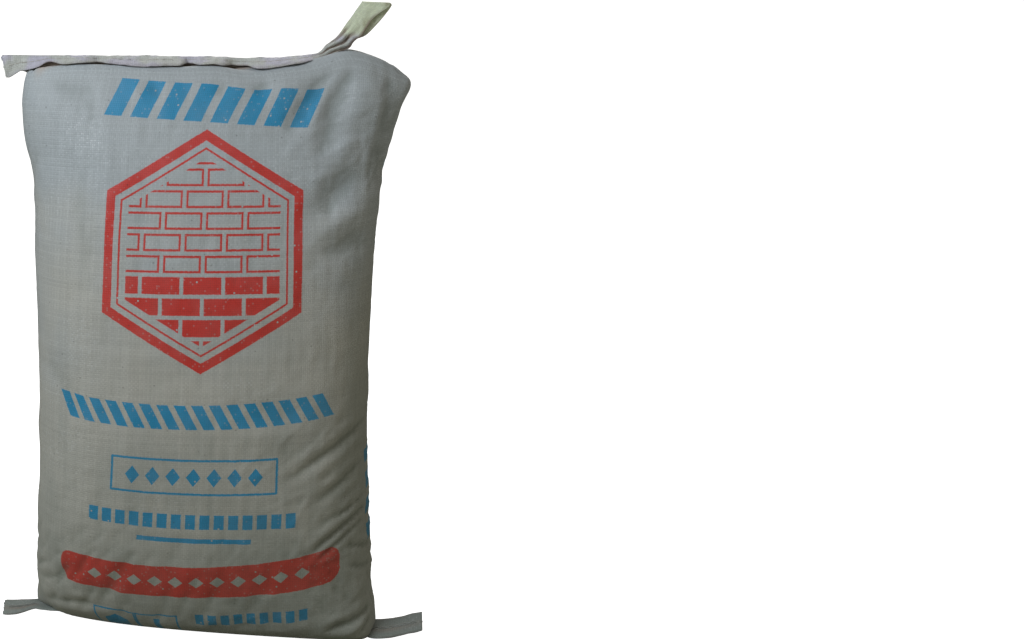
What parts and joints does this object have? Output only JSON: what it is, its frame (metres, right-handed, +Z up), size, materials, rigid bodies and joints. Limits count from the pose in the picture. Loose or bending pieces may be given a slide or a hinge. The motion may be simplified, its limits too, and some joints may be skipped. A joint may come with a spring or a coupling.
{
  "type": "cement bag",
  "caption": "Filled woven cement sack standing on its sewn base, with folded binding strips, loose ears and seam threads at both ends.",
  "frame": {"origin": "middle of the flat base, on the floor that the sack stands on", "axes": "+Z up from the base to the mouth, +X to the right as seen from the printed front, -Y out of the printed front"},
  "size_m": [0.4943, 0.2031, 0.7043],
  "materials": {
    "woven_cloth": "woven",
    "strip_cloth": "woven",
    "seam_thread": "woven"
  },
  "bodies": {
    "root": {"woven_sack": "woven_cloth", "top_strip": "strip_cloth", "base_strip": "strip_cloth", "top_thread": "seam_thread", "base_thread": "seam_thread"}
  },
  "joints": []
}
